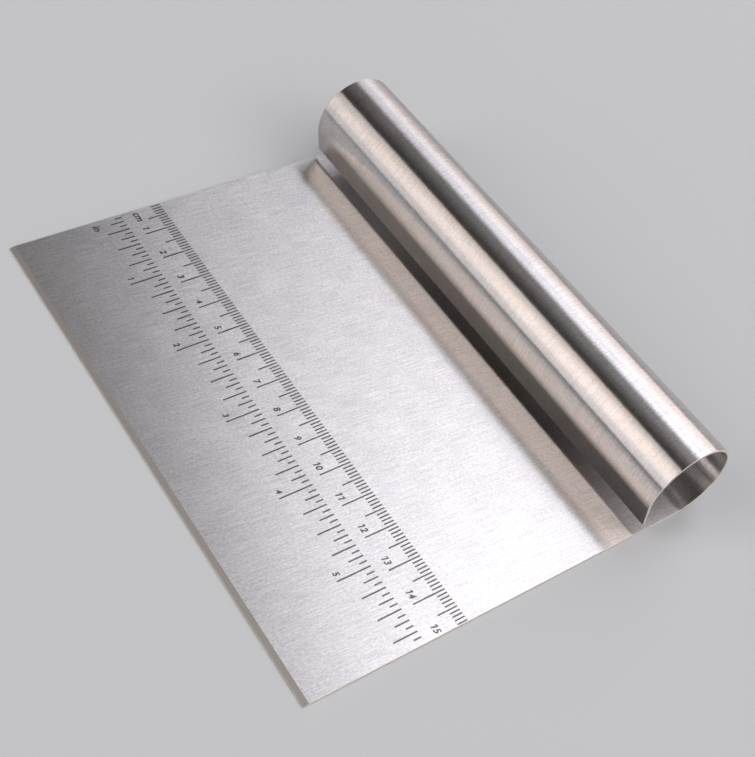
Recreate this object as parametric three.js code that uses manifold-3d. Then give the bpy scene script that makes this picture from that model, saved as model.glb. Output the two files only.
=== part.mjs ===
// Dough scraper: a stainless sheet with a ground scraping edge, two etched rulers and a rolled handle.
// Millimetres. +X runs along the scraping edge, +Y from that edge to the handle, and +Z is up.
// The origin is under the middle of the scraper, on the surface that it lies on.
import * as THREE from "three";
import { mergeGeometries, mergeVertices } from "three/addons/utils/BufferGeometryUtils.js";
import Module from "manifold-3d";

// Driving dimensions of the sheet
const LENGTH = 149; // along the scraping edge and along the handle
const DEPTH = 119; // from the scraping edge to the back of the roll
const SHEET = 0.7; // thickness of the sheet
const EDGE_SLOPE = 1.4; // width of the slope that is ground on the scraping edge
const EDGE_THICKNESS = 0.3; // what the grinding leaves at the very edge

// Driving dimensions of the roll
const ROLL_DIAMETER = 25; // over the outside of the roll
const LIP_LEAN = 10; // degrees that the straight lip leans in from upright
const MOUTH = 2.9; // from the top of the blade to the free edge of the lip
const FACET_ANGLE = 5; // most degrees that one flat facet of the bend turns

// Driving dimensions of the rulers, whose ticks all hang from a straight line towards the scraping edge
const METRIC_LINE = 43.4; // from the scraping edge to the line that the millimetre ticks hang from
const MILLIMETRE_TICK = 2.8;
const HALF_CENTIMETRE_TICK = 5.5;
const CENTIMETRE_TICK = 8.8;
const RULER_GAP = 3; // from the longest metric tick to the line that the inch ticks hang from
const SIXTEENTH_TICK = 2.1;
const EIGHTH_TICK = 4;
const QUARTER_TICK = 6.5;
const INCH_TICK = 9.2;
const TICK_WIDTH = 0.4;
const TICK_DEPTH = 0.1; // how deep the etching is
const ZERO_OVERHANG = 0.4; // the rulers' zero lies this far off the left end of the sheet
const END_MARGIN = 0.2; // least sheet between a tick and an end of the sheet

// Standard lengths that the rulers show
const MILLIMETRE = 1;
const INCH = 25.4;
const SIXTEENTHS_PER_INCH = 16;

// Places that follow from the sizes
const ROLL_RADIUS = ROLL_DIAMETER / 2;
const BEND_START = DEPTH - ROLL_RADIUS; // where the bend starts, under the centre of the roll

const stainless = new THREE.MeshStandardMaterial({
  name: "brushed stainless steel",
  color: 0xcac8c6,
  roughness: 0.35,
  metalness: 1,
});

const wasm = await Module();
wasm.setup();

// A closed geometry as a solid that can be cut.
function solidOf(geometry) {
  const bare = new THREE.BufferGeometry();
  bare.setAttribute("position", geometry.getAttribute("position"));
  bare.setIndex(geometry.index);
  const merged = mergeVertices(bare);
  const mesh = new wasm.Mesh({
    numProp: 3,
    vertProperties: merged.getAttribute("position").array,
    triVerts: new Uint32Array(merged.index.array),
  });
  return new wasm.Manifold(mesh);
}

// A cut solid as a geometry with flat faces.
function geometryOf(solid) {
  const mesh = solid.getMesh();
  const shared = new THREE.BufferGeometry();
  shared.setAttribute("position", new THREE.BufferAttribute(mesh.vertProperties, mesh.numProp));
  shared.setIndex(new THREE.BufferAttribute(mesh.triVerts, 1));
  const flat = shared.toNonIndexed();
  flat.computeVertexNormals();
  return flat;
}

// Runs a section along X. The section is drawn across the sheet: its x is the part's Y, and its y is Z.
function alongSheet(section, curveSegments) {
  const geometry = new THREE.ExtrudeGeometry(section, { depth: LENGTH, curveSegments, bevelEnabled: false });
  const partX = new THREE.Vector3(1, 0, 0);
  const partY = new THREE.Vector3(0, 1, 0);
  const partZ = new THREE.Vector3(0, 0, 1);
  return geometry.applyMatrix4(new THREE.Matrix4().makeBasis(partY, partZ, partX));
}

// One ruler's ticks as a row of small boxes that stand through the sheet's top face.
// sizes lists how often each length of tick comes, the longest first.
function rulerTicks(line, pitch, sizes) {
  const ticks = [];
  for (let count = 1; ; count++) {
    const x = count * pitch - ZERO_OVERHANG;
    if (x + TICK_WIDTH / 2 + END_MARGIN > LENGTH) break;
    if (x - TICK_WIDTH / 2 - END_MARGIN < 0) continue;
    const { length } = sizes.find((size) => count % size.every === 0);
    const tick = new THREE.BoxGeometry(TICK_WIDTH, length, 2 * TICK_DEPTH);
    ticks.push(tick.translate(x, line - length / 2, SHEET));
  }
  return solidOf(mergeGeometries(ticks));
}

// The flat sheet, from the ground scraping edge to the line where the bend starts
function makeBlade() {
  const section = new THREE.Shape();
  section.moveTo(0, 0);
  section.lineTo(BEND_START, 0);
  section.lineTo(BEND_START, SHEET);
  section.lineTo(EDGE_SLOPE, SHEET);
  section.lineTo(0, EDGE_THICKNESS);
  section.closePath();

  const metric = rulerTicks(METRIC_LINE, MILLIMETRE, [
    { every: 10, length: CENTIMETRE_TICK },
    { every: 5, length: HALF_CENTIMETRE_TICK },
    { every: 1, length: MILLIMETRE_TICK },
  ]);
  const inchLine = METRIC_LINE - CENTIMETRE_TICK - RULER_GAP;
  const inches = rulerTicks(inchLine, INCH / SIXTEENTHS_PER_INCH, [
    { every: SIXTEENTHS_PER_INCH, length: INCH_TICK },
    { every: SIXTEENTHS_PER_INCH / 4, length: QUARTER_TICK },
    { every: SIXTEENTHS_PER_INCH / 8, length: EIGHTH_TICK },
    { every: 1, length: SIXTEENTH_TICK },
  ]);
  const etched = solidOf(alongSheet(section)).subtract(metric).subtract(inches);

  const blade = new THREE.Mesh(geometryOf(etched), stainless);
  blade.name = "blade";
  return blade;
}

// The bent sheet: a roll of most of a turn, then a straight lip that comes down to its free edge
function makeRolledHandle() {
  const start = -Math.PI / 2;
  const end = Math.PI + THREE.MathUtils.degToRad(LIP_LEAN);
  const inside = ROLL_RADIUS - SHEET;
  const outward = new THREE.Vector2(Math.cos(end), Math.sin(end));
  const down = new THREE.Vector2(-outward.y, outward.x);
  const centre = new THREE.Vector2(BEND_START, ROLL_RADIUS);

  const bendEnd = centre.clone().addScaledVector(outward, ROLL_RADIUS);
  const lipLength = (bendEnd.y - SHEET - MOUTH) / -down.y;
  const outerEdge = bendEnd.clone().addScaledVector(down, lipLength);
  const innerEdge = outerEdge.clone().addScaledVector(outward, -SHEET);

  const section = new THREE.Shape();
  section.moveTo(centre.x, 0);
  section.absarc(centre.x, centre.y, ROLL_RADIUS, start, end, false);
  section.lineTo(outerEdge.x, outerEdge.y);
  section.lineTo(innerEdge.x, innerEdge.y);
  section.absarc(centre.x, centre.y, inside, end, start, true);
  section.closePath();

  const turn = THREE.MathUtils.radToDeg(end - start);
  const curveSegments = Math.ceil(turn / FACET_ANGLE / 2); // an arc is drawn with twice this many facets
  const handle = new THREE.Mesh(alongSheet(section, curveSegments), stainless);
  handle.name = "rolled_handle";
  return handle;
}

const scraper = new THREE.Group();
scraper.name = "dough scraper";
scraper.position.set(-LENGTH / 2, -DEPTH / 2, 0);
scraper.add(makeBlade(), makeRolledHandle());

export default scraper;
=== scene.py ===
# %% [markdown]
# # A rolled-handle dough scraper
# The real scraper is one stainless sheet: a flat blade with a ground scraping edge, and a back edge that
# is rolled over into an open tube for the hand. Dark etched rulers run across the blade.
# The solids of the part are loaded first and never moved. They say how big everything is, and the pieces
# that are modelled here take their sizes and places from them.

# %% Load the solids
import math

import bmesh
import bpy
from mathutils import Matrix, Vector


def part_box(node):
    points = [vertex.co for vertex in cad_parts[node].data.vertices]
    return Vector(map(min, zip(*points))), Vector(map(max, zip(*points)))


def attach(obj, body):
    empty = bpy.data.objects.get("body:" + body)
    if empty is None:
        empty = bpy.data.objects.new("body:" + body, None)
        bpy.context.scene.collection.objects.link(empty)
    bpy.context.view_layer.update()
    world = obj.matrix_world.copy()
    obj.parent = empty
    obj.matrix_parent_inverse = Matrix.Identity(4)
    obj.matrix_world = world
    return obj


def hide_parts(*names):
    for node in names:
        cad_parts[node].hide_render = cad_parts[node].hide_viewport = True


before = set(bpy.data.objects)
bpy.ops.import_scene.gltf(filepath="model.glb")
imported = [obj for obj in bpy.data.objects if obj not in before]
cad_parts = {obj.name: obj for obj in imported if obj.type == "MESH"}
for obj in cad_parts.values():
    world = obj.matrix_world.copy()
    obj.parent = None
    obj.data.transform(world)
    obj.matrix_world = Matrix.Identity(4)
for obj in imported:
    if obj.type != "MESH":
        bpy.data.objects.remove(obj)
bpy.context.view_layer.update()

bpy.ops.object.select_all(action="DESELECT")
print("nodes:", sorted(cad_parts))

# %% [markdown]
# ## Sizes
# Blender works in metres and a scraper is measured in millimetres, so one value turns one into the other.
# The boxes of the two solids give the length, the sheet's thickness, the line where the bend starts and the
# radius of the roll. The few sizes that a box can't show are written out, as they are on the real tool.

# %% Sizes of the sheet
MM = 0.001

blade_low, blade_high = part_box("blade")
roll_low, roll_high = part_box("rolled_handle")

LENGTH = blade_high.x - blade_low.x
LEFT_END = blade_low.x
EDGE_Y = blade_low.y
BEND_Y = blade_high.y
SHEET = blade_high.z - blade_low.z
ROLL_RADIUS = (roll_high.z - roll_low.z) / 2

EDGE_SLOPE = 1.4 * MM
EDGE_THICKNESS = 0.3 * MM
LIP_LEAN = math.radians(10)
MOUTH = 2.9 * MM

ROLL_TURN = math.radians(270) + LIP_LEAN
BEND_END_HEIGHT = ROLL_RADIUS * (1 - math.sin(LIP_LEAN))
LIP_LENGTH = (BEND_END_HEIGHT - SHEET - MOUTH) / math.cos(LIP_LEAN)
FLAT_LENGTH = BEND_Y - EDGE_Y
DEVELOPED = FLAT_LENGTH + ROLL_RADIUS * ROLL_TURN + LIP_LENGTH
print(f"blank: {LENGTH / MM:.1f} x {DEVELOPED / MM:.1f} mm, lip {LIP_LENGTH / MM:.2f} mm")

# %% [markdown]
# ## Camera
# The camera stands where the photographer stood: over the near corner of the blade, looking down across it.
# It is placed by where it stands, the point that it looks at and how far it is tipped sideways.
# The focal length goes with a sensor 36 mm along the long side of the picture, and both are in millimetres.

# %% Camera
CAMERA_PLACE = Vector((168.9, -152.7, 255.5)) * MM
CAMERA_AIM = Vector((5.8, 4.5, 0.7)) * MM
CAMERA_ROLL = math.radians(14.0)
FOCAL_LENGTH = 63.5
SENSOR = 36
NEAREST_SEEN = 1 * MM

bpy.ops.object.camera_add(location=CAMERA_PLACE)
camera = bpy.context.object
camera.name = "camera"
look = (CAMERA_AIM - CAMERA_PLACE).to_track_quat("-Z", "Y")
camera.rotation_euler = (look.to_matrix() @ Matrix.Rotation(CAMERA_ROLL, 3, "Z")).to_euler()
camera.data.sensor_width = SENSOR
camera.data.lens = FOCAL_LENGTH
camera.data.clip_start = NEAREST_SEEN
bpy.context.scene.camera = camera
print("camera at", [round(x, 3) for x in CAMERA_PLACE], "lens", FOCAL_LENGTH)

# %% [markdown]
# ## Helpers for materials
# Colours are written as the sRGB hex values that a paint program shows, and turned into the linear values
# that the shader mixes. One function adds a node, gives it its settings and links what goes into it.

# %% Material helpers


def linear(hex_colour):
    shares = [int(hex_colour[start : start + 2], 16) / 255 for start in (1, 3, 5)]
    return (*[s / 12.92 if s <= 0.04045 else ((s + 0.055) / 1.055) ** 2.4 for s in shares], 1.0)


def add_node(tree, kind, inputs=None, **settings):
    node = tree.nodes.new(kind)
    for name, value in settings.items():
        setattr(node, name, value)
    for name, value in (inputs or {}).items():
        socket = node.inputs[name]
        if isinstance(value, bpy.types.NodeSocket):
            tree.links.new(value, socket)
        else:
            socket.default_value = value
    return node


def new_material(name):
    material = bpy.data.materials.new(name)
    material.use_nodes = True
    material.node_tree.nodes.clear()
    return material, material.node_tree


def show_surface(tree, shader):
    add_node(tree, "ShaderNodeOutputMaterial", {"Surface": shader})


print("the sRGB grey #808080 is", round(linear("#808080")[0], 3), "in linear light")

# %% [markdown]
# ## Brushed stainless steel
# The sheet is stainless steel, brushed with an abrasive belt. The belt leaves fine scratches from the
# scraping edge to the roll, so light spreads wide across them and stays sharp along them: that is what
# Anisotropic does, with its wide direction set by the map. The scratches themselves also show: short
# hairlines and longer scratches change the tone, the roughness and the slope a little. The belt wanders,
# so the two sets cross at a small angle. Real ones are about 0.03 mm wide, far too fine for the render, so
# they are drawn eight or nine times as wide. Handling leaves faint smudges of another tone and gloss.

# %% Brushed stainless steel
BRUSH_MAP = "unrolled"
HAIRLINE_WIDTH = 0.24 * MM
HAIRLINE_LENGTH = 0.9 * MM
SCRATCH_WIDTH = 0.28 * MM
SCRATCH_LENGTH = 7 * MM
SMUDGE_SIZE = 9 * MM
BELT_WANDER = math.radians(4)
HAIRLINE_DEPTH = 0.012 * MM
SCRATCH_SHARE = 0.45
SMUDGE_SHARE = 0.12
DULLEST_STEEL = "#bdbbba"
BRIGHTEST_STEEL = "#dbd8d6"
SMOOTHEST_STEEL = 0.275
ROUGHEST_STEEL = 0.305

brushed_steel, tree = new_material("brushed stainless steel")
unrolled = add_node(tree, "ShaderNodeUVMap", uv_map=BRUSH_MAP)


def brushing(width, length, tilt, detail):
    stretched = add_node(
        tree,
        "ShaderNodeMapping",
        {
            "Vector": unrolled.outputs["UV"],
            "Rotation": (0, 0, tilt),
            "Scale": (width / LENGTH, length / DEVELOPED, 1),
        },
        vector_type="TEXTURE",
    )
    noise = add_node(
        tree,
        "ShaderNodeTexNoise",
        {"Vector": stretched.outputs["Vector"], "Scale": 1.0, "Detail": detail},
        noise_dimensions="2D",
    )
    return noise.outputs["Fac"]


hairlines = brushing(HAIRLINE_WIDTH, HAIRLINE_LENGTH, BELT_WANDER, 1)
scratches = brushing(SCRATCH_WIDTH, SCRATCH_LENGTH, -BELT_WANDER, 1)
smudges = brushing(SMUDGE_SIZE, SMUDGE_SIZE, 0, 2)
grain = add_node(
    tree, "ShaderNodeMix", {"Factor": SCRATCH_SHARE, "A": hairlines, "B": scratches}, data_type="FLOAT"
)
tone = add_node(
    tree,
    "ShaderNodeMix",
    {"Factor": SMUDGE_SHARE, "A": grain.outputs["Result"], "B": smudges},
    data_type="FLOAT",
)
contrast = add_node(
    tree,
    "ShaderNodeMapRange",
    {"Value": tone.outputs["Result"], "From Min": 0.37, "From Max": 0.63},
)
colour = add_node(
    tree,
    "ShaderNodeMix",
    {
        "Factor": contrast.outputs["Result"],
        "A": linear(DULLEST_STEEL),
        "B": linear(BRIGHTEST_STEEL),
    },
    data_type="RGBA",
)
roughness = add_node(
    tree,
    "ShaderNodeMapRange",
    {
        "Value": tone.outputs["Result"],
        "From Min": 0.3,
        "From Max": 0.7,
        "To Min": SMOOTHEST_STEEL,
        "To Max": ROUGHEST_STEEL,
    },
)
relief = add_node(
    tree,
    "ShaderNodeBump",
    {"Height": grain.outputs["Result"], "Strength": 1.0, "Distance": HAIRLINE_DEPTH},
)
across_brushing = add_node(tree, "ShaderNodeTangent", direction_type="UV_MAP", uv_map=BRUSH_MAP)
steel = add_node(
    tree,
    "ShaderNodeBsdfPrincipled",
    {
        "Base Color": colour.outputs["Result"],
        "Metallic": 1.0,
        "Roughness": roughness.outputs["Result"],
        "Anisotropic": 1.0,
        "Normal": relief.outputs["Normal"],
        "Tangent": across_brushing.outputs["Tangent"],
    },
)
show_surface(tree, steel.outputs["BSDF"])
print("brushed steel:", len(tree.nodes), "nodes")

# %% [markdown]
# ## Sheared edges
# The outline of the sheet was cut with a shear, which leaves a bright, slightly torn edge with no brushing.
# A plain rough steel with a fine irregular bump shows that. It needs no map and reads Object coordinates.
# Tearing is finer than 0.1 mm on a sheet like this, and it is drawn a few times coarser so that it shows.

# %% Sheared steel
TEAR_SIZE = 0.4 * MM
TEAR_DEPTH = 0.01 * MM

sheared_steel, tree = new_material("sheared stainless steel")
place = add_node(tree, "ShaderNodeTexCoord")
tearing = add_node(
    tree,
    "ShaderNodeTexNoise",
    {"Vector": place.outputs["Object"], "Scale": 1 / TEAR_SIZE, "Detail": 2.0},
)
torn = add_node(
    tree, "ShaderNodeBump", {"Height": tearing.outputs["Fac"], "Strength": 1.0, "Distance": TEAR_DEPTH}
)
edge_colour = add_node(
    tree,
    "ShaderNodeMix",
    {"Factor": tearing.outputs["Fac"], "A": linear("#ded8ce"), "B": linear("#fbf6ec")},
    data_type="RGBA",
)
edge = add_node(
    tree,
    "ShaderNodeBsdfPrincipled",
    {
        "Base Color": edge_colour.outputs["Result"],
        "Metallic": 1.0,
        "Roughness": 0.6,
        "Normal": torn.outputs["Normal"],
    },
)
show_surface(tree, edge.outputs["BSDF"])
print("sheared steel:", len(tree.nodes), "nodes")

# %% [markdown]
# ## Ground slope
# The slope of the scraping edge was cut on a grinding wheel after the brushing, so it has no brushing of
# its own. Fine grit marks run across it in no one direction, and it scatters light evenly: a rougher steel
# with a fine speckle. The grit marks are drawn about five times as wide as they are.

# %% Ground steel
GRIT_SIZE = 0.25 * MM
GRIT_DEPTH = 0.004 * MM

ground_steel, tree = new_material("ground stainless steel")
place = add_node(tree, "ShaderNodeTexCoord")
grit = add_node(
    tree,
    "ShaderNodeTexNoise",
    {"Vector": place.outputs["Object"], "Scale": 1 / GRIT_SIZE, "Detail": 2.0},
)
grit_relief = add_node(
    tree, "ShaderNodeBump", {"Height": grit.outputs["Fac"], "Strength": 1.0, "Distance": GRIT_DEPTH}
)
grit_tone = add_node(
    tree,
    "ShaderNodeMix",
    {"Factor": grit.outputs["Fac"], "A": linear("#a09d99"), "B": linear("#d0cdc9")},
    data_type="RGBA",
)
ground = add_node(
    tree,
    "ShaderNodeBsdfPrincipled",
    {
        "Base Color": grit_tone.outputs["Result"],
        "Metallic": 1.0,
        "Roughness": 0.55,
        "Normal": grit_relief.outputs["Normal"],
    },
)
show_surface(tree, ground.outputs["BSDF"])
print("ground steel:", len(tree.nodes), "nodes")

# %% [markdown]
# ## Etched marks
# The rulers are etched and blackened. What shows is a thin dark oxide, brown-grey and a little patchy because
# the etch bites the brushed surface unevenly. It is so thin that part of the steel's shine comes through, so
# it is a dark metal here: the marks grow lighter and darker with the steel around them, as they do in life.

# %% Blackened etching
PATCH_SIZE = 0.5 * MM

etched_black, tree = new_material("blackened etching")
place = add_node(tree, "ShaderNodeTexCoord")
patches = add_node(
    tree,
    "ShaderNodeTexNoise",
    {"Vector": place.outputs["Object"], "Scale": 1 / PATCH_SIZE, "Detail": 3.0},
)
oxide = add_node(
    tree,
    "ShaderNodeMix",
    {"Factor": patches.outputs["Fac"], "A": linear("#544c46"), "B": linear("#877e76")},
    data_type="RGBA",
)
etch_roughness = add_node(
    tree,
    "ShaderNodeMapRange",
    {"Value": patches.outputs["Fac"], "To Min": 0.3, "To Max": 0.5},
)
etching = add_node(
    tree,
    "ShaderNodeBsdfPrincipled",
    {
        "Base Color": oxide.outputs["Result"],
        "Metallic": 1.0,
        "Roughness": etch_roughness.outputs["Result"],
    },
)
show_surface(tree, etching.outputs["BSDF"])
print("blackened etching:", len(tree.nodes), "nodes")

# %% [markdown]
# ## Helpers for modelling
# An operator acts on whatever is selected, so each step first picks its points by their place.
# These helpers open a piece for editing, pick points with a test, and apply a modifier.

# %% Modelling helpers
TOUCH = 0.001 * MM


def open_for_editing(piece):
    bpy.ops.object.select_all(action="DESELECT")
    piece.select_set(True)
    bpy.context.view_layer.objects.active = piece
    bpy.ops.object.mode_set(mode="EDIT")
    bpy.ops.mesh.select_mode(type="VERT")
    bpy.ops.mesh.select_all(action="DESELECT")


def close_editing():
    bpy.ops.object.mode_set(mode="OBJECT")


def pick_points(piece, wanted):
    mesh = bmesh.from_edit_mesh(piece.data)
    for point in mesh.verts:
        point.select = wanted(point.co)
    mesh.select_flush_mode()
    bmesh.update_edit_mesh(piece.data)
    return sum(point.select for point in mesh.verts)


def apply_modifier(piece, kind, **settings):
    modifier = piece.modifiers.new(kind.lower(), kind)
    for name, value in settings.items():
        setattr(modifier, name, value)
    bpy.ops.object.select_all(action="DESELECT")
    piece.select_set(True)
    bpy.context.view_layer.objects.active = piece
    bpy.ops.object.modifier_apply(modifier=modifier.name)


print("points closer than", TOUCH / MM, "mm count as touching")

# %% [markdown]
# ## The sheet
# On the real tool the blade and the handle are one sheet, so one piece stands for both solids here and no
# seam shows. It could be drawn as a section and extruded. Spinning the back edge of a flat plane round the
# centre of the roll is closer to how a bending machine works, and gives clean rows of faces along the bend.
# The first surface is the underside of the blade and has no thickness yet. Two cuts across it mark where the
# ground slope ends and keep a narrow flat strip before the bend.

# %% Flat blade
BEND_LEAD = 1.0 * MM

bpy.ops.mesh.primitive_plane_add(size=1)
sheet = bpy.context.object
sheet.name = "rolled_sheet"
sheet.data.name = "rolled_sheet"
sheet.scale = (LENGTH, FLAT_LENGTH, 1)
sheet.location = (0, EDGE_Y + FLAT_LENGTH / 2, 0)
bpy.ops.object.transform_apply(location=True, rotation=True, scale=True)

open_for_editing(sheet)
for line in (EDGE_Y + EDGE_SLOPE, BEND_Y - BEND_LEAD):
    bpy.ops.mesh.select_all(action="SELECT")
    bpy.ops.mesh.bisect(plane_co=(0, line, 0), plane_no=(0, 1, 0))
close_editing()
print("flat blade:", len(sheet.data.polygons), "faces")

# %% [markdown]
# ## Roll and lip
# The bend runs most of a turn up, back over the blade and down again, and ends in a straight lip. Spin turns
# the back edge round the centre of the roll, and one extrude along the way that the lip leans makes the lip.
# Facets this small shade as a smooth round. Spin can turn faces over, so the doubles are merged and the
# normals recalculated before the sheet gets its thickness.

# %% Roll and lip
FACET_ANGLE = math.radians(2.5)

open_for_editing(sheet)
pick_points(sheet, lambda place: place.y > BEND_Y - TOUCH)
bpy.ops.mesh.spin(
    steps=math.ceil(ROLL_TURN / FACET_ANGLE),
    angle=ROLL_TURN,
    center=(0, BEND_Y, ROLL_RADIUS),
    axis=(-1, 0, 0),
)
lip_way = Vector((0, math.sin(LIP_LEAN), -math.cos(LIP_LEAN)))
bpy.ops.mesh.extrude_region_move(TRANSFORM_OT_translate={"value": lip_way * LIP_LENGTH})
bpy.ops.mesh.select_all(action="SELECT")
bpy.ops.mesh.remove_doubles(threshold=TOUCH)
bpy.ops.mesh.normals_make_consistent(inside=False)
close_editing()
lowest = min(point.co.z for point in sheet.data.vertices)
highest = max(point.co.z for point in sheet.data.vertices)
print(f"rolled: {len(sheet.data.polygons)} faces, {lowest / MM:.2f} to {highest / MM:.2f} mm high")

# %% [markdown]
# ## A map that follows the sheet
# The sheet was brushed before it was bent, so the brushing runs from the scraping edge, over the blade and
# on round the roll. A UV map with the length across and the unrolled distance up carries that: every mark
# that is drawn on it bends with the metal. The same map tells the shader which way the brushing runs.

# %% Unrolled map
LIP_SLACK = math.radians(1)


def unrolled_distance(place):
    if place.y <= BEND_Y + TOUCH and place.z < TOUCH:
        return place.y - EDGE_Y
    turned = math.atan2(place.z - ROLL_RADIUS, place.y - BEND_Y) + math.pi / 2
    turned %= 2 * math.pi
    if turned > ROLL_TURN + LIP_SLACK:
        return DEVELOPED
    return FLAT_LENGTH + ROLL_RADIUS * turned


while sheet.data.uv_layers:
    sheet.data.uv_layers.remove(sheet.data.uv_layers[0])
brush_map = sheet.data.uv_layers.new(name=BRUSH_MAP)
for corner in sheet.data.loops:
    place = sheet.data.vertices[corner.vertex_index].co
    brush_map.data[corner.index].uv = (
        (place.x - LEFT_END) / LENGTH,
        unrolled_distance(place) / DEVELOPED,
    )
print("map: one across is", round(LENGTH / MM), "mm, one up is", round(DEVELOPED / MM), "mm")

# %% [markdown]
# ## Thickness, ground edge and cut edges
# Solidify gives the surface the thickness of the sheet, on the upper side of the blade and so on the inside
# of the roll. The faces that it adds round the outline are the cut edges, and get a finish of their own.
# Then the top of the scraping edge is pressed down to make the ground slope, and a very small bevel takes
# the sharpness off every cut edge, so that it catches a line of light as sheared steel does.

# %% Thickness and edges
EDGE_BREAK = 0.06 * MM
SHARP_ANGLE = math.radians(50)
SMOOTH_ANGLE = math.radians(12)
CUT_SLOT = 1
GROUND_SLOT = 2

sheet.data.materials.append(brushed_steel)
sheet.data.materials.append(sheared_steel)
sheet.data.materials.append(ground_steel)
apply_modifier(
    sheet,
    "SOLIDIFY",
    thickness=SHEET,
    offset=-1,
    use_even_offset=True,
    use_rim=True,
    material_offset_rim=CUT_SLOT,
)
open_for_editing(sheet)
pick_points(sheet, lambda place: place.y < EDGE_Y + TOUCH and place.z > SHEET / 2)
bpy.ops.transform.translate(value=(0, 0, EDGE_THICKNESS - SHEET))
pick_points(sheet, lambda place: place.y < EDGE_Y + EDGE_SLOPE + TOUCH and place.z > EDGE_THICKNESS - TOUCH)
sheet.active_material_index = GROUND_SLOT
bpy.ops.object.material_slot_assign()
close_editing()
apply_modifier(
    sheet, "BEVEL", width=EDGE_BREAK, segments=2, limit_method="ANGLE", angle_limit=SHARP_ANGLE
)
bpy.ops.object.shade_smooth_by_angle(angle=SMOOTH_ANGLE)
for slot, finish in enumerate(sheet.data.materials):
    print(finish.name, sum(face.material_index == slot for face in sheet.data.polygons), "faces")

# %% [markdown]
# ## Ruler ticks
# Each ruler is a row of ticks that hang from a straight line towards the scraping edge. A tick is a thin
# bar let into the sheet, with its top a hair above the metal so that it covers it. All ticks of one ruler
# are one piece, made by adding bars to it one after another in edit mode. The rulers' zero lies a little off
# the left end of the sheet, and a tick that would run off the right end is left out.

# %% Ticks
METRIC_LINE = EDGE_Y + 43.4 * MM
MILLIMETRE_TICK = 2.8 * MM
HALF_CENTIMETRE_TICK = 5.5 * MM
CENTIMETRE_TICK = 8.8 * MM
RULER_GAP = 3 * MM
INCH_LINE = METRIC_LINE - CENTIMETRE_TICK - RULER_GAP
SIXTEENTH_TICK = 2.1 * MM
EIGHTH_TICK = 4 * MM
QUARTER_TICK = 6.5 * MM
INCH_TICK = 9.2 * MM
TICK_WIDTH = 0.4 * MM
RULER_ZERO = LEFT_END - 0.4 * MM
END_MARGIN = 0.2 * MM
MILLIMETRE = 1 * MM
CENTIMETRE = 10 * MM
INCH = 25.4 * MM
MARK_DEPTH = 0.05 * MM
MARK_RISE = 0.01 * MM
MARK_TOP = SHEET + MARK_RISE
MARK_MIDDLE = MARK_TOP - MARK_DEPTH / 2


def etch_ruler(name, line, pitch, sizes):
    bpy.ops.object.select_all(action="DESELECT")
    ruler = bpy.data.objects.new(name, bpy.data.meshes.new(name))
    bpy.context.scene.collection.objects.link(ruler)
    open_for_editing(ruler)
    count = 1
    while RULER_ZERO + count * pitch + TICK_WIDTH / 2 + END_MARGIN <= LEFT_END + LENGTH:
        length = next(size for every, size in sizes if count % every == 0)
        bpy.ops.mesh.primitive_cube_add(
            size=1,
            location=(RULER_ZERO + count * pitch, line - length / 2, MARK_MIDDLE),
            scale=(TICK_WIDTH, length, MARK_DEPTH),
        )
        count += 1
    close_editing()
    ruler.data.materials.append(etched_black)
    print(name, count - 1, "ticks")
    return ruler


metric_ticks = etch_ruler(
    "metric_ticks",
    METRIC_LINE,
    MILLIMETRE,
    ((10, CENTIMETRE_TICK), (5, HALF_CENTIMETRE_TICK), (1, MILLIMETRE_TICK)),
)
inch_ticks = etch_ruler(
    "inch_ticks",
    INCH_LINE,
    INCH / 16,
    ((16, INCH_TICK), (4, QUARTER_TICK), (2, EIGHTH_TICK), (1, SIXTEENTH_TICK)),
)

# %% [markdown]
# ## Numerals
# Small slanted numerals stand to the left of the long ticks, about level with their ends. They are text
# objects, slanted and thickened, then turned into meshes and joined, because a finished piece is a mesh.
# A larger sign at the start of each ruler says what it counts. The built-in font sets every digit in a cell
# half as wide as the text size, and draws a one as a plain bar. On the tool a one has a flag, so a short
# tilted bar is added at the top of each.

# %% Numerals and unit signs
NUMERAL_HEIGHT = 1.65 * MM
INCH_NUMERAL_HEIGHT = 1.5 * MM
UNIT_SIGN_HEIGHT = 2.1 * MM
METRIC_SIGN_END = 4.5 * MM
INCH_SIGN_END = 3.6 * MM
NUMERAL_GAP = 1.4 * MM
NUMERAL_LIFT = 0.2 * MM
SLANT = 0.22
BOLDNESS = 0.08 * MM
HEIGHT_OF_SIZE = 0.7
DIGIT_CELL = 0.5
FLAG_LENGTH = 0.7 * MM
FLAG_WIDTH = 0.28 * MM
FLAG_TILT = math.radians(25)
CURVE_STEPS = 3
LAST_CENTIMETRE = 15
LAST_INCH = 5


def etch_text(words, height, right_end, foot):
    bpy.ops.object.text_add(location=(right_end, foot, MARK_MIDDLE))
    text = bpy.context.object
    text.data.body = words
    text.data.size = height / HEIGHT_OF_SIZE
    text.data.align_x = "RIGHT"
    text.data.shear = SLANT
    text.data.offset = BOLDNESS
    text.data.extrude = MARK_DEPTH / 2
    text.data.resolution_u = CURVE_STEPS
    bpy.ops.object.convert(target="MESH")
    bpy.ops.object.transform_apply(location=True, rotation=True, scale=True)
    return bpy.context.object


def etch_flag(stem, top):
    bpy.ops.mesh.primitive_cube_add(
        size=1,
        location=(
            stem - FLAG_LENGTH / 2 * math.cos(FLAG_TILT),
            top - FLAG_LENGTH / 2 * math.sin(FLAG_TILT),
            MARK_MIDDLE,
        ),
        rotation=(0, 0, FLAG_TILT),
        scale=(FLAG_LENGTH, FLAG_WIDTH, MARK_DEPTH),
    )
    bpy.ops.object.transform_apply(location=True, rotation=True, scale=True)
    return bpy.context.object


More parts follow.
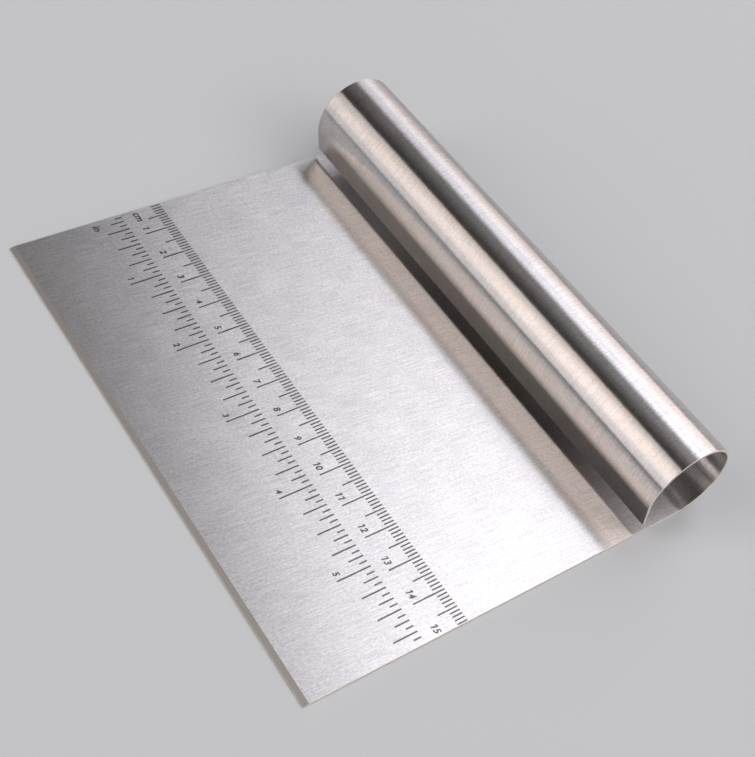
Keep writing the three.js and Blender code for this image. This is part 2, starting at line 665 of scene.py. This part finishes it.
def join_marks(name, marks):
    bpy.ops.object.select_all(action="DESELECT")
    for mark in marks:
        mark.select_set(True)
    bpy.context.view_layer.objects.active = marks[0]
    bpy.ops.object.join()
    joined = bpy.context.object
    joined.name = name
    joined.data.name = name
    joined.data.materials.clear()
    joined.data.materials.append(etched_black)
    print(name, len(joined.data.polygons), "faces")
    return joined


def etch_numerals(name, last, pitch, height, foot):
    numerals = []
    for number in range(1, last + 1):
        right_end = RULER_ZERO + number * pitch - NUMERAL_GAP
        numerals.append(etch_text(str(number), height, right_end, foot))
        cell = DIGIT_CELL * height / HEIGHT_OF_SIZE
        for digits_after, digit in enumerate(reversed(str(number))):
            if digit == "1":
                stem = right_end - (digits_after + 0.5) * cell + SLANT * height
                numerals.append(etch_flag(stem, foot + height))
    return join_marks(name, numerals)


metric_foot = METRIC_LINE - CENTIMETRE_TICK + NUMERAL_LIFT
inch_foot = INCH_LINE - INCH_TICK + NUMERAL_LIFT
metric_numerals = etch_numerals(
    "metric_numerals", LAST_CENTIMETRE, CENTIMETRE, NUMERAL_HEIGHT, metric_foot
)
inch_numerals = etch_numerals("inch_numerals", LAST_INCH, INCH, INCH_NUMERAL_HEIGHT, inch_foot)
unit_signs = join_marks(
    "unit_signs",
    [
        etch_text("cm", UNIT_SIGN_HEIGHT, LEFT_END + METRIC_SIGN_END, metric_foot),
        etch_text("in", UNIT_SIGN_HEIGHT, LEFT_END + INCH_SIGN_END, inch_foot),
    ],
)
box = [Vector(corner) for corner in metric_numerals.bound_box]
print("numeral height in mm:", round((box[2].y - box[0].y) / MM, 2))

# %% [markdown]
# ## Floor
# A plain pale floor carries the part. It lies a hair under the sheet so that the two don't share a plane.

# %% Floor
FLOOR_DROP = 0.05 * MM
FLOOR_SIZE = 40

pale_floor, tree = new_material("pale floor")
matt = add_node(
    tree, "ShaderNodeBsdfPrincipled", {"Base Color": linear("#c6cbcd"), "Roughness": 0.9}
)
show_surface(tree, matt.outputs["BSDF"])
bpy.ops.mesh.primitive_plane_add(size=FLOOR_SIZE, location=(0, 0, -FLOOR_DROP))
floor = bpy.context.object
floor.name = "floor"
floor.data.materials.append(pale_floor)
print("floor:", FLOOR_SIZE, "m square")

# %% [markdown]
# ## Studio light
# Brushed metal shows the studio more than its own colour, so the lamps are laid out by what the roll
# mirrors. Two large softboxes stand over the part, one behind the handle and one in front of the blade, and
# both fade towards the floor. Between them the studio is dim, and that gives the dark band along the roll.
# Weak low lamps at both ends and in front light what the softboxes miss, such as the cut edges and the
# inside of the roll. Each softbox is a bank of strips. A strip is placed by the turn of its bank, by its
# angles above the horizon and by where it starts and ends along the bank, in metres: at no turn, 0 degrees
# is the horizon behind the handle, 90 is overhead and 180 is the horizon in front of the blade. Its last two
# values are how bright it looks, where 1 is white, and its tint.

# %% World and softboxes
STUDIO_RADIUS = 12
STUDIO_LEVEL = 0.01
STUDIO_COLOUR = "#f4f4f4"
POWER_PER_AREA = 4  # watts per square metre that make an area lamp look white
BACK_TURN = -26
NEAR_TURN = -90
FAR_TURN = 90
COOL_TINT = "#f6f6ff"
PALE_TINT = "#fdf7f8"
ROSE_TINT = "#fff2f3"
WARM_TINT = "#fff2ec"
SOFTBOX_STRIPS = (
    ("back_foot", BACK_TURN, 4, 16, -8, -1, 1.5, ROSE_TINT),
    ("back_low", BACK_TURN, 16, 28, -15, -1, 1.55, ROSE_TINT),
    ("back_lower_middle", BACK_TURN, 28, 40, -17, 0, 1.6, ROSE_TINT),
    ("back_middle", BACK_TURN, 40, 53, -17, 12, 1.72, PALE_TINT),
    ("back_upper_middle", BACK_TURN, 53, 64, -17, 4, 1.66, COOL_TINT),
    ("back_high", BACK_TURN, 64, 74, -8.2, -0.2, 2.75, COOL_TINT),
    ("back_far", BACK_TURN, 64, 73, -16, -8.2, 0.55, COOL_TINT),
    ("back_top", BACK_TURN, 74, 80, -7.8, 0.6, 1.62, COOL_TINT),
    ("back_rim", BACK_TURN, 80, 92, -2.4, 8, 0.86, PALE_TINT),
    ("back_near", BACK_TURN, 26, 40, 0, 9, 2.5, PALE_TINT),
    ("overhead", 0, 92, 104, -6, -2.4, 0.05, PALE_TINT),
    ("front_top", 0, 117, 126, -8, -2.6, 2.1, WARM_TINT),
    ("front_high", 0, 126, 134, -8, 0.5, 1.98, WARM_TINT),
    ("front_middle", 0, 134, 150, -8, 0, 2.45, WARM_TINT),
    ("front_low", 0, 150, 158, -8, -0.4, 2.2, WARM_TINT),
    ("front_foot", 0, 158, 174.6, -8, 2, 1.25, PALE_TINT),
    ("front_near", 0, 150, 176, 5, 22, 1.1, PALE_TINT),
    ("near_foot", NEAR_TURN, 2, 14, -12, 12, 0.8, PALE_TINT),
    ("near_side", NEAR_TURN, 15, 50, -5, 5, 0.9, WARM_TINT),
    ("far_foot", FAR_TURN, 2, 14, -12, 12, 0.6, PALE_TINT),
)

world = bpy.data.worlds.new("studio")
bpy.context.scene.world = world
world.use_nodes = True
background = world.node_tree.nodes["Background"]
background.inputs["Color"].default_value = linear(STUDIO_COLOUR)
background.inputs["Strength"].default_value = STUDIO_LEVEL

roll_middle = Vector((0, BEND_Y, ROLL_RADIUS))
for name, turn, first, last, start, end, radiance, tint in SOFTBOX_STRIPS:
    bank = Matrix.Rotation(math.radians(turn), 3, "Z")
    height = math.radians((first + last) / 2)
    away = bank @ Vector((0, math.cos(height), math.sin(height)))
    along = bank @ Vector((1, 0, 0))
    width = 2 * STUDIO_RADIUS * math.tan(math.radians(last - first) / 2)
    length = end - start
    bpy.ops.object.light_add(
        type="AREA",
        location=roll_middle + away * STUDIO_RADIUS + along * (start + end) / 2,
        rotation=away.to_track_quat("Z", "X").to_euler(),
    )
    lamp = bpy.context.object
    lamp.name = name
    lamp.data.shape = "RECTANGLE"
    lamp.data.size = width
    lamp.data.size_y = length
    lamp.data.color = linear(tint)[:3]
    lamp.data.energy = POWER_PER_AREA * radiance * width * length
    lamp.visible_camera = False
    print(name, [round(x, 2) for x in lamp.location], f"{width:.2f} x {length:.2f} m")

bpy.context.scene.view_settings.view_transform = "Standard"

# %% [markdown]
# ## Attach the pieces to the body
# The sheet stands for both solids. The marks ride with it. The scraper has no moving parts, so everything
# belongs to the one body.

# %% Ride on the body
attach(sheet, "root")
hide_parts("blade", "rolled_handle")
for mark in (metric_ticks, inch_ticks, metric_numerals, inch_numerals, unit_signs):
    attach(mark, "root")
